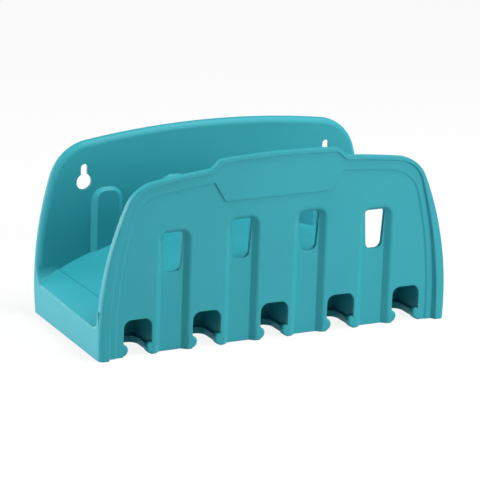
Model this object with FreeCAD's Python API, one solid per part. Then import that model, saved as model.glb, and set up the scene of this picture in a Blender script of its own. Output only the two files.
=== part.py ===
"""Hose hanger: a wall bracket for a coiled hose, moulded in one piece.

Built with x across, y from the front panel towards the wall and z up from the foot, all in millimetres.
The finished solid is then moved so that its origin lies midway between the two wall-screw holes,
on the wall side of the back plate.
"""
import FreeCAD
import Part

import math
import os

from FreeCAD import Vector

# Walls
wall = 2.6
plate_wall = 2.4
pocket_wall = 2.0

# Front plate outline: widest a little above the foot, bowed sides, round shoulders, arched top
front_half_width = 129.0
front_foot = 13.0
front_side_radius = 222.0
front_shoulder_radius = 25.0
front_apex = 123.3
arch_radius = 630.0

# Tab that lifts the middle of the front plate's top edge
tab_half_width = 46.5
tab_rise = 5.5
tab_ramp_angle = 45.0
tab_blend_radius = 6.0

# Rim around the front plate, wide at the foot and thin at the top, and the sunk field inside it
rim_proud = 4.0
rim_proud_top = 1.5
rim_round = 3.2
rim_width = 6.7
rim_inner_side_radius = 300.0
rim_inner_shoulder_radius = 23.0
rim_inner_apex = 122.2
rim_flank = 2.0
field_margin = 6.0
field_side_radius = 300.0
field_shoulder_radius = 24.0
field_apex = 114.0
field_step = 0.7
field_flank = 1.0

# Bare plaque that hangs from the raised band into the middle of the field
plaque_half_top = 50.0
plaque_half_bottom = 39.5
plaque_top = 116.0
plaque_bottom = 98.6
plaque_radius = 3.0

# Channels down the front plate, with ribs behind them, and a window at the head of each
pitch = 50.0
channel_mouth_half = 11.7
channel_floor_half = 7.8
channel_depth = 3.2
channel_corner_radius = 7.0
channel_head_room = 0.3
channel_head_share = 0.5
channel_lip = 1.3
channel_lip_depth = 0.35
window_crest = 85.1
window_height = 27.2
window_half_top = 7.6
window_half_bottom = 5.9
window_top_radius = 2.4
window_bottom_radius = 4.6

# Notches in the foot of the front plate, and the retaining pockets behind them
notch_half = 10.2
notch_top = 25.0
notch_radius = 5.5
pocket_half = 12.4
pocket_back = 31.0
pocket_roof_rise = 0.8
ledge_thickness = 4.5
slot_half = 10.6
slot_back = 28.0
slot_radius = 6.0
nub_radius = 4.2
nub_reach = 3.8
nub_z = 4.4
nub_length = 4.4
nub_bevel = 1.0
nub_gap = 0.2

# Saddle floor between the plates
floor_apex = 54.3
floor_radius = 252.0
floor_end_gap = 0.2
floor_edge_round = 2.0
strip_width = 18.6
strip_rise = 0.5
strip_lift = 1.9
strip_back_blend = 11.0
strip_front_blend = 8.0
strip_end_round = 2.0

# Back plate, its flange and its ribs
back_draw_in = 3.6
back_foot = 25.0
back_side_radius = 247.0
back_shoulder_radius = 31.5
back_apex = 123.0
back_face = 105.6
flange_depth = 5.0
flange_round = 4.0
flange_wall = 3.2
back_rib_lift = 1.0
back_rib_radius = 9.5

# Keyholes for the wall screws
keyhole_x = 92.0
keyhole_z = 88.8
keyhole_radius = 5.6
keyhole_slot_half = 2.6
keyhole_top = 101.2
slot_flat = 0.05

# How far cutting tools run past the surfaces that they cut, and how near counts as touching
over = 1.0
touch = 0.01

panel_back = wall
plate_back = back_face + plate_wall
wall_plane = back_face + flange_depth
rim_inner_half_width = front_half_width - rim_width
field_half_width = rim_inner_half_width - field_margin
back_half_width = front_half_width - back_draw_in
floor_front_half = front_half_width - floor_end_gap
floor_back_half = back_half_width - floor_end_gap
floor_end = floor_apex - floor_radius + math.sqrt(floor_radius ** 2 - floor_front_half ** 2)
strip_inner = floor_front_half - strip_width
strip_foot = floor_end + strip_lift
ramp = math.radians(tab_ramp_angle)
channel_slope = (channel_mouth_half - channel_floor_half) / channel_depth
channel_x = [pitch * k for k in (-1.5, -0.5, 0.5, 1.5)]
notch_x = [pitch * k for k in (-2, -1, 0, 1, 2)]


def arch_drop(x):
    """How far the arched top has fallen at a distance x from the middle."""
    return arch_radius - math.sqrt(arch_radius ** 2 - x ** 2)


def channel_head(x):
    """Height of a channel's floor end, just above its window."""
    return window_crest - arch_drop(x) + channel_head_room


def circles_meet(a, ra, b, rb):
    """The meeting point of two circles in a plane of constant y that lies furthest to +x."""
    span = b - a
    d = span.Length
    along = (ra ** 2 - rb ** 2 + d ** 2) / (2 * d)
    across = math.sqrt(ra ** 2 - along ** 2)
    e = span / d
    normal = Vector(-e.z, 0, e.x)
    base = a + e * along
    return max((base + normal * across, base - normal * across), key=lambda p: p.x)


def line_meets_circle(p, d, c, r):
    """The highest point where the line through p along the unit vector d meets a circle."""
    reach = (c - p).dot(d)
    foot = p + d * reach
    half = math.sqrt(r ** 2 - (foot - c).Length ** 2)
    return max((foot + d * half, foot - d * half), key=lambda q: q.z)


def arc_about(c, a, b):
    """The short arc around c from a to b."""
    middle = ((a - c).normalize() + (b - c).normalize()).normalize()
    return Part.Arc(a, c + middle * (a - c).Length, b).toShape()


def mirrored(p):
    return Vector(-p.x, p.y, p.z)


def outline(y, half, foot, side_r, shoulder_r, apex, inset=0.0, tab=False, bottom=0.0):
    """Closed plate outline at depth y, moved inwards by inset, with or without the tab."""
    side_r -= inset
    shoulder_r -= inset
    top_r = arch_radius - inset
    side_c = Vector(half - inset - side_r, y, foot)
    top_c = Vector(0, y, apex - arch_radius)
    shoulder_c = circles_meet(side_c, side_r - shoulder_r, top_c, top_r - shoulder_r)
    start = Vector(side_c.x + math.sqrt(side_r ** 2 - (bottom - foot) ** 2), y, bottom)
    side_end = side_c + (shoulder_c - side_c).normalize() * side_r
    top_start = top_c + (shoulder_c - top_c).normalize() * top_r
    steps = [(side_c, start, side_end), (shoulder_c, side_end, top_start)]
    last = top_start
    if tab:
        out = Vector(math.sin(ramp), 0, math.cos(ramp))
        up = Vector(-math.cos(ramp), 0, math.sin(ramp))
        middle_z = apex - arch_drop(tab_half_width) + tab_rise / 2
        middle = Vector(tab_half_width, y, middle_z) - out * inset
        low_r = tab_blend_radius + inset
        high_r = tab_blend_radius - inset
        tab_r = top_r + tab_rise
        low_c = line_meets_circle(middle + out * low_r, up, top_c, top_r + low_r)
        high_c = line_meets_circle(middle - out * high_r, up, top_c, tab_r - high_r)
        low_a = top_c + (low_c - top_c).normalize() * top_r
        low_b = low_c - out * low_r
        high_a = high_c + out * high_r
        high_b = top_c + (high_c - top_c).normalize() * tab_r
        steps += [(top_c, top_start, low_a), (low_c, low_a, low_b)]
        steps += [(None, low_b, high_a), (high_c, high_a, high_b)]
        last = high_b
    crown = arc_about(top_c, last, mirrored(last))
    right = [Part.makeLine(a, b) if c is None else arc_about(c, a, b) for c, a, b in steps]
    left = [Part.makeLine(mirrored(b), mirrored(a)) if c is None
            else arc_about(mirrored(c), mirrored(b), mirrored(a)) for c, a, b in reversed(steps)]
    base = Part.makeLine(mirrored(start), start)
    return Part.Wire(right + [crown] + left + [base])


def rounded(points):
    """Closed wire through corners given as (position, radius), each corner rounded to its radius."""
    ends = []
    count = len(points)
    for i, (p, r) in enumerate(points):
        to_last = (points[i - 1][0] - p).normalize()
        to_next = (points[(i + 1) % count][0] - p).normalize()
        if r == 0:
            ends.append((p, None, p))
            continue
        half_angle = to_last.getAngle(to_next) / 2
        cut = r / math.tan(half_angle)
        centre = p + (to_last + to_next).normalize() * (r / math.sin(half_angle))
        ends.append((p + to_last * cut, centre, p + to_next * cut))
    edges = []
    for i, (a, c, b) in enumerate(ends):
        if c is not None:
            edges.append(arc_about(c, a, b))
        edges.append(Part.makeLine(b, ends[(i + 1) % count][0]))
    return Part.Wire(edges)


def arched_panel(x, half_top, half_bottom, bottom, top, y, top_r, bottom_r=0.0):
    """Four-cornered wire at depth y with round top corners."""
    return rounded([(Vector(x + half_bottom, y, bottom), bottom_r), (Vector(x + half_top, y, top), top_r),
                    (Vector(x - half_top, y, top), top_r), (Vector(x - half_bottom, y, bottom), bottom_r)])


def prism(wire, run):
    return Part.Face(wire).extrude(run)


def skin(*wires):
    """Solid with straight flanks between wires of the same kind."""
    return Part.makeLoft(list(wires), True, True)


def box(x0, x1, y0, y1, z0, z1):
    return Part.makeBox(x1 - x0, y1 - y0, z1 - z0, Vector(x0, y0, z0))


def edges_where(shape, test):
    return [e for e in shape.Edges if test(e)]


def channel_solid(x, y_wide, y_narrow, grow, head, bottom, corner=channel_corner_radius):
    """Tapered, round-headed bar: a channel's cut, or with grow above zero the rib around it."""
    wires = []
    for y in (y_wide, y_narrow):
        spread = abs(y_narrow - y) * channel_slope
        half = channel_floor_half + grow + spread
        radius = corner + grow + spread - (channel_mouth_half - channel_floor_half)
        top = head + grow + spread * channel_head_share
        wires.append(arched_panel(x, half, half, bottom, top, y, radius))
    return skin(*wires)


def rim_front(z):
    """Depth of the rim's front face, which leans back towards the top."""
    return -rim_proud + (rim_proud - rim_proud_top) * z / front_apex


def rim_slope():
    """Wedge in front of the leaning rim face."""
    low = -over
    high = front_apex + tab_rise + over
    side = [Vector(0, rim_front(low), low), Vector(0, rim_front(high), high),
            Vector(0, -2 * rim_proud, high), Vector(0, -2 * rim_proud, low), Vector(0, rim_front(low), low)]
    wedge = prism(Part.makePolygon(side), Vector(2 * front_half_width + 2 * over, 0, 0))
    wedge.translate(Vector(-front_half_width - over, 0, 0))
    return wedge


def front_plate():
    front = (front_half_width, front_foot, front_side_radius, front_shoulder_radius, front_apex)
    inner = (rim_inner_half_width, front_foot, rim_inner_side_radius, rim_inner_shoulder_radius,
             rim_inner_apex)
    field = (field_half_width, front_foot, field_side_radius, field_shoulder_radius, field_apex)
    plate = prism(outline(-rim_proud, *front, tab=True), Vector(0, rim_proud + panel_back, 0))
    rim_edges = edges_where(plate, lambda e: e.BoundBox.YMax < touch - rim_proud and e.BoundBox.ZMax > over)
    plate = plate.makeFillet(rim_round, rim_edges)
    plate = plate.cut(rim_slope())

    # Sunk band inside the rim, then the field one shallow step deeper
    drop = rim_proud - field_step
    lead = over * rim_flank / drop
    plate = plate.cut(skin(outline(-rim_proud - over, *inner, inset=-lead, tab=True, bottom=-over),
                           outline(-field_step, *inner, inset=rim_flank, tab=True, bottom=-over)))
    lead = over * field_flank / field_step
    sunk = skin(outline(-field_step - over, *field, inset=-lead, bottom=-over),
                outline(0, *field, inset=field_flank, bottom=-over))
    plaque = arched_panel(0, plaque_half_bottom, plaque_half_top, plaque_top, plaque_bottom,
                          -field_step - 2 * over, plaque_radius)
    plate = plate.cut(sunk.cut(prism(plaque, Vector(0, field_step + 3 * over, 0))))

    ribs = [channel_solid(x, panel_back - over, channel_depth + panel_back, wall / 2, channel_head(x), 0)
            for x in channel_x]
    return plate.fuse(ribs)


def channel_mouth(x):
    """Shallow bevel that eases the panel into a channel's flanks."""
    wires = []
    for y, grow in ((-channel_lip_depth, channel_lip), (channel_lip_depth, -channel_lip)):
        half = channel_mouth_half - channel_lip_depth * channel_slope + channel_lip + grow
        top = channel_head(x) + channel_depth * channel_slope * channel_head_share + channel_lip + grow
        wires.append(arched_panel(x, half, half, -over, top, y, channel_corner_radius + channel_lip + grow))
    return skin(*wires)


def channel_cut(x):
    """One channel in the front plate and the window at its head."""
    crest = window_crest - arch_drop(x)
    channel = channel_solid(x, -over, channel_depth, 0, channel_head(x), -over)
    channel = channel.fuse(channel_mouth(x))
    window = arched_panel(x, window_half_top, window_half_bottom, crest - window_height, crest,
                          -over, window_top_radius, window_bottom_radius)
    return channel.fuse(prism(window, Vector(0, channel_depth + panel_back + 2 * over, 0)))


def floor_half(y):
    """Half width of the saddle at depth y; its ends draw in towards the wall."""
    return floor_front_half + (floor_back_half - floor_front_half) * y / wall_plane


def floor_block(shrink, lift, y0, y1, bottom):
    """Solid under an arched roof, with the saddle's ends moved in by shrink."""
    near = floor_half(y0) - shrink
    far = floor_half(y1) - shrink
    plan = Part.makePolygon([Vector(near, y0, bottom), Vector(far, y1, bottom), Vector(-far, y1, bottom),
                             Vector(-near, y0, bottom), Vector(near, y0, bottom)])
    axis = Vector(0, y0, floor_apex - floor_radius)
    roof = Part.makeCylinder(floor_radius + lift, y1 - y0, axis, Vector(0, 1, 0))
    return prism(plan, Vector(0, 0, floor_apex + lift + over - bottom)).common(roof)


def saddle():
    """Arched floor with its end skirts, hollow from below, and a raised strip along each end."""
    block = floor_block(0, 0, panel_back / 2, back_face + plate_wall / 2, 0)
    raised = floor_block(0, strip_rise, panel_back / 2, back_face + plate_wall / 2, 0)
    raised = raised.cut(box(-strip_inner, strip_inner, 0, wall_plane, -over, floor_apex + over))
    block = block.fuse(raised).removeSplitter()
    inside = strip_inner + floor_edge_round
    ends = edges_where(block, lambda e: e.BoundBox.YLength > back_face / 2 and
                       min(abs(v.X) for v in e.Vertexes) > inside)
    return block.makeFillet(floor_edge_round, ends)


def end_blend(sign):
    """Concave blends between the end strip and the two plates."""
    high = strip_foot + max(strip_back_blend, strip_front_blend) + over
    x0 = sign * strip_inner
    profile = [(Vector(x0, 0, 0), 0), (Vector(x0, 0, high), 0),
               (Vector(x0, panel_back, high), 0), (Vector(x0, panel_back, strip_foot), strip_front_blend),
               (Vector(x0, back_face, strip_foot), strip_back_blend), (Vector(x0, back_face, high), 0),
               (Vector(x0, plate_back, high), 0), (Vector(x0, plate_back, 0), 0)]
    bar = prism(rounded(profile), Vector(sign * (floor_front_half - strip_inner), 0, 0))
    bar = bar.common(floor_limit())
    outer = edges_where(bar, lambda e: strip_foot - touch < e.BoundBox.ZMin and e.BoundBox.ZMax < high - touch
                        and all(abs(abs(v.X) - floor_half(v.Y)) < touch for v in e.Vertexes))
    return bar.makeFillet(strip_end_round, outer)


def back_plate():
    back = (back_half_width, back_foot, back_side_radius, back_shoulder_radius, back_apex)
    plate = prism(outline(back_face, *back), Vector(0, flange_depth, 0))
    lip = edges_where(plate, lambda e: e.BoundBox.YMax < back_face + touch and e.BoundBox.ZMax > over)
    plate = plate.makeFillet(flange_round, lip)
    hollow = outline(plate_back, *back, inset=flange_wall, bottom=plate_wall)
    plate = plate.cut(prism(hollow, Vector(0, flange_depth, 0)))
    ribs = [channel_solid(x, back_face + over, back_face - channel_depth, 0, channel_head(x) + back_rib_lift,
                          0, back_rib_radius) for x in channel_x]
    plate = plate.fuse(ribs)
    for sign in (-1, 1):
        x = sign * keyhole_x
        run = Vector(0, plate_wall + 2 * over, 0)
        low = Vector(x, back_face - over, keyhole_z)
        entry = Part.makeCylinder(keyhole_radius, run.y, low, Vector(0, 1, 0))
        slot = arched_panel(x, keyhole_slot_half, keyhole_slot_half, keyhole_z, keyhole_top,
                            back_face - over, keyhole_slot_half - slot_flat)
        plate = plate.cut(entry.fuse(prism(slot, run)))
    return plate


def relief_cut(x):
    """Groove in the wall side of the back plate that keeps a rib hollow."""
    return channel_solid(x, plate_back + over, plate_back - channel_depth, -wall / 2,
                         channel_head(x) + back_rib_lift, plate_wall, back_rib_radius)


def pocket_shell(x):
    half = pocket_half + pocket_wall
    return box(x - half, x + half, panel_back / 2, pocket_back + pocket_wall, 0,
               notch_top + pocket_roof_rise + pocket_wall)


def pocket_cut(x):
    """Everything removed for one pocket: the notch, the room behind it and the slot in its ledge."""
    notch = prism(arched_panel(x, notch_half, notch_half, -over, notch_top, -rim_proud, notch_radius),
                  Vector(0, rim_proud + panel_back + over, 0))
    room = box(x - pocket_half, x + pocket_half, panel_back, pocket_back, ledge_thickness,
               notch_top + pocket_roof_rise)
    slot = rounded([(Vector(x - slot_half, panel_back, -over), 0),
                    (Vector(x + slot_half, panel_back, -over), 0),
                    (Vector(x + slot_half, slot_back, -over), slot_radius),
                    (Vector(x - slot_half, slot_back, -over), slot_radius)])
    return notch.fuse(room).fuse(prism(slot, Vector(0, 0, ledge_thickness + 2 * over)))


def mouth_nubs(x):
    """Two round nubs, one on each side of a notch's foot, that a fitting snaps past."""
    offset = notch_half + nub_radius - nub_reach
    land = pitch / 2 - channel_mouth_half - nub_gap
    room = box(x - land, x + land, 0, nub_length, 0, 2 * nub_z + nub_radius)
    nubs = []
    for sign in (-1, 1):
        nub = Part.makeCylinder(nub_radius, nub_length, Vector(x + sign * offset, 0, nub_z), Vector(0, 1, 0))
        front = edges_where(nub, lambda e: e.BoundBox.YMax < touch)
        nubs.append(nub.makeChamfer(nub_bevel, front).common(room))
    return nubs


def hanger():
    block = saddle()
    hollow = floor_block(wall, -wall, panel_back, back_face, -over)
    skirt = block.cut(hollow)
    shells = [pocket_shell(x).common(block) for x in notch_x]
    blends = [end_blend(s) for s in (-1, 1)]
    shape = front_plate().fuse([skirt, back_plate()] + shells + blends)
    for x in channel_x:
        shape = shape.cut([channel_cut(x), relief_cut(x)])
    for x in notch_x:
        shape = shape.cut(pocket_cut(x)).fuse(mouth_nubs(x))
    return shape.removeSplitter()


def floor_limit():
    """Room that the end blends may fill: above the skirts' hollow and inside the ends."""
    tall = floor_block(0, floor_apex, 0, wall_plane, 0)
    return tall.cut(floor_block(wall, -wall, 0, wall_plane, -over))


os.makedirs("parts", exist_ok=True)
solid = hanger()
solid.translate(Vector(0, -plate_back, -keyhole_z))
solid.exportStep("parts/hose_hanger.step")
print("solids", len(solid.Solids), "valid", solid.isValid(), "volume", round(solid.Volume), solid.BoundBox)
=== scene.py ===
"""Hose hanger on a white studio floor, seen from its front left."""
import math

import bpy
from mathutils import Matrix, Vector


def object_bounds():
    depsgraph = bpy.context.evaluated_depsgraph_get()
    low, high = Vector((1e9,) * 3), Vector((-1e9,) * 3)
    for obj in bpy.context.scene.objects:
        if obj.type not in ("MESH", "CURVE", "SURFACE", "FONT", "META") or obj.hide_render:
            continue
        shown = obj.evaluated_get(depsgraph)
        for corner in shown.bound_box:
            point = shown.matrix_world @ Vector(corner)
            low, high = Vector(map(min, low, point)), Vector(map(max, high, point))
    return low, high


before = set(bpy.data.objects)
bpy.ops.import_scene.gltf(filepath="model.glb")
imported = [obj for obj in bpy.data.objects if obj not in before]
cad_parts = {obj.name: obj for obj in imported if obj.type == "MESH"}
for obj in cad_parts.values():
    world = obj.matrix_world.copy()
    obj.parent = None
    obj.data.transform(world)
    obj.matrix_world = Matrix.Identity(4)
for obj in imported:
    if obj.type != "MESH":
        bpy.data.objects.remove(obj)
cad_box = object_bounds()

# The moulding. One injection-moulded shell of turquoise plastic: the front plate, saddle, back plate
# and pockets come out of the mould together.
# It keeps the frame's own solid and only gets its finish here.
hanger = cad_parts["hose_hanger"]
TURQUOISE = (0.026, 0.345, 0.410)
DEEP_TURQUOISE = (0.020, 0.310, 0.366)
CLOUD_SIZE = 0.060
CLOUD_DETAIL = 3.0
SCUFF_SIZE = 0.012
SCUFF_DETAIL = 4.0
SCUFF_MIDDLE = 0.5
GRAIN_SIZE = 0.0009
GRAIN_DETAIL = 2.0
GRAIN_DEPTH = 0.00002
GRAIN_STRENGTH = 0.5
EDGE_ROUND = 0.0008
EDGE_SAMPLES = 6
SATIN = 0.60
SATIN_SWING = 0.10
GLOSS = 0.36


class Shade:
    """A socket of a material that takes part in arithmetic."""

    def __init__(self, tree, socket):
        self.tree = tree
        self.socket = socket

    def fill(self, node, sockets):
        """Gives a node's sockets, found by name or number, their values or links."""
        for key, value in sockets.items():
            if isinstance(value, Shade):
                self.tree.links.new(value.socket, node.inputs[key])
            else:
                node.inputs[key].default_value = value

    def node(self, kind, settings, sockets, output=0):
        """Adds a node, sets it up, fills its sockets and returns one of its outputs."""
        made = self.tree.nodes.new(kind)
        for name, value in settings.items():
            setattr(made, name, value)
        self.fill(made, sockets)
        return Shade(self.tree, made.outputs[output])

    def maths(self, operation, first, second):
        """Works on two values in that order, of which at least one is a socket."""
        return self.node("ShaderNodeMath", {"operation": operation}, {0: first, 1: second})

    def __add__(self, other):
        return self.maths("ADD", self, other)

    def __radd__(self, other):
        return self.maths("ADD", other, self)

    def __sub__(self, other):
        return self.maths("SUBTRACT", self, other)

    def __rsub__(self, other):
        return self.maths("SUBTRACT", other, self)

    def __mul__(self, other):
        return self.maths("MULTIPLY", self, other)

    def __rmul__(self, other):
        return self.maths("MULTIPLY", other, self)


def new_material(name):
    """A fresh material, its shader node and the shader's output, from which more nodes are added."""
    made = bpy.data.materials.new(name)
    made.use_nodes = True
    shader = made.node_tree.nodes["Principled BSDF"]
    return made, shader, Shade(made.node_tree, shader.outputs[0])


def moulded_plastic():
    """Satin plastic: faint clouding from the melt flow, fine spark-eroded grain, softened edges."""
    made, shader, pen = new_material("moulded_turquoise_plastic")
    place = pen.node("ShaderNodeTexCoord", {}, {}, "Object")

    def noise(size, detail):
        """Noise from 0 to 1 with features of about that size in metres."""
        return pen.node("ShaderNodeTexNoise", {},
                        {"Vector": place, "Scale": 1 / size, "Detail": detail}, "Fac")

    cloud = noise(CLOUD_SIZE, CLOUD_DETAIL)
    scuff = noise(SCUFF_SIZE, SCUFF_DETAIL)
    grain = noise(GRAIN_SIZE, GRAIN_DETAIL)
    # A Mix node takes its factor at input 0 and two colours at 6 and 7, and gives a colour at output 2
    tint = pen.node("ShaderNodeMix", {"data_type": "RGBA"},
                    {0: cloud, 6: (*DEEP_TURQUOISE, 1), 7: (*TURQUOISE, 1)}, 2)
    soft = pen.node("ShaderNodeBevel", {"samples": EDGE_SAMPLES}, {"Radius": EDGE_ROUND})
    skin = pen.node("ShaderNodeBump", {},
                    {"Height": grain, "Distance": GRAIN_DEPTH, "Strength": GRAIN_STRENGTH, "Normal": soft})
    satin = SATIN + (scuff - SCUFF_MIDDLE) * SATIN_SWING
    pen.fill(shader, {"Base Color": tint, "Roughness": satin, "Normal": skin, "Specular IOR Level": GLOSS})
    return made


hanger.data.materials.clear()
hanger.data.materials.append(moulded_plastic())

# The studio floor. A plain white sheet that the hanger stands on, wide enough to fill the picture.
# The camera sees it glow, so that it stays white around the hanger's shadow, and the plastic mirrors
# it brighter still, as a sheet that is lit past white. It throws only part of the light back up.
FLOOR_SIZE = 8.0
FLOOR_WHITE = 0.85
FLOOR_BOUNCE = 0.45
FLOOR_GLOW = 0.88
FLOOR_SHINE = 2.2
FLOOR_ROUGH = 0.9
FLOOR_GLOSS = 0.1
bpy.ops.mesh.primitive_plane_add(size=FLOOR_SIZE, location=(0, 0, cad_box[0][2]))
studio_floor = bpy.context.object
studio_floor.name = "studio_floor"
sheet, sheet_shader, sheet_pen = new_material("pale_floor")
seen = sheet_pen.node("ShaderNodeLightPath", {}, {}, "Is Camera Ray")
mirrored = sheet_pen.node("ShaderNodeLightPath", {}, {}, "Is Glossy Ray")
bare = seen + mirrored
pale = FLOOR_BOUNCE + bare * (FLOOR_WHITE - FLOOR_BOUNCE)
sheet_pen.fill(sheet_shader,
               {"Base Color": pale, "Roughness": FLOOR_ROUGH, "Specular IOR Level": FLOOR_GLOSS})
glow = sheet_pen.node("ShaderNodeEmission", {}, {"Color": seen + mirrored * FLOOR_SHINE, "Strength": 1.0})
blend = sheet_pen.node("ShaderNodeMixShader", {}, {0: bare * FLOOR_GLOW, 1: sheet_pen, 2: glow})
sheet_pen.fill(sheet.node_tree.nodes["Material Output"], {"Surface": blend})
studio_floor.data.materials.append(sheet)

# The light. A weak even sky and four soft boxes: one at the front right for the front plate,
# a narrow one on the left for the saddle and its end, a low one behind on the left for the edges,
# and one overhead for the back plate and the floor.
SKY_WHITE = (1, 1, 1, 1)
SKY_STRENGTH = 0.07
MIDDLE = Vector((0, -0.05, -0.03))
sky = bpy.context.scene.world or bpy.data.worlds.new("studio_sky")
bpy.context.scene.world = sky
sky.use_nodes = True
backdrop = sky.node_tree.nodes["Background"]
backdrop.inputs["Color"].default_value = SKY_WHITE
backdrop.inputs["Strength"].default_value = SKY_STRENGTH


def soft_box(name, place, wide, high, power):
    """An area lamp, so wide and so high, that faces the middle of the hanger."""
    lamp = bpy.data.lights.new(name, "AREA")
    lamp.shape = "RECTANGLE"
    lamp.size = wide
    lamp.size_y = high
    lamp.energy = power
    holder = bpy.data.objects.new(name, lamp)
    holder.location = place
    holder.rotation_euler = (MIDDLE - Vector(place)).to_track_quat("-Z", "Y").to_euler()
    bpy.context.scene.collection.objects.link(holder)


soft_box("front_right_box", (0.38, -0.74, 0.34), wide=0.4, high=0.4, power=4.9)
soft_box("left_strip", (-1.1, -0.05, 0.22), wide=0.14, high=0.5, power=7.4)
soft_box("back_left_strip", (-0.85, 1.55, 0.10), wide=1.5, high=0.34, power=22)
soft_box("overhead_box", (0.45, -0.28, 1.4), wide=0.6, high=0.6, power=22)

# The camera. A long lens at the front left, a little above the hanger and tipped by a small roll,
# aimed a little to the right of and below the middle of the part.
TARGET = Vector((-0.00105, -0.0480, -0.0288))
TURN = math.radians(27.61)
RAISE = math.radians(16.77)
ROLL = math.radians(-2.02)
DISTANCE = 2.218
LENS = 246.6
AIM_RIGHT = 0.0039
AIM_DOWN = 0.0084
NEAREST = 0.05
forward = Vector((math.sin(TURN) * math.cos(RAISE), math.cos(TURN) * math.cos(RAISE), -math.sin(RAISE)))
level = Vector((math.cos(TURN), -math.sin(TURN), 0))
plumb = forward.cross(level)
across = level * math.cos(ROLL) + plumb * math.sin(ROLL)
down = plumb * math.cos(ROLL) - level * math.sin(ROLL)
camera_data = bpy.data.cameras.new("studio_camera")
camera_data.lens = LENS
camera_data.clip_start = NEAREST
camera = bpy.data.objects.new("studio_camera", camera_data)
bpy.context.scene.collection.objects.link(camera)
turned = Matrix((across, -down, -forward)).transposed().to_4x4()
eye = TARGET + across * AIM_RIGHT + down * AIM_DOWN - forward * DISTANCE
camera.matrix_world = Matrix.Translation(eye) @ turned
bpy.context.scene.camera = camera
bpy.context.scene.view_settings.view_transform = "Standard"
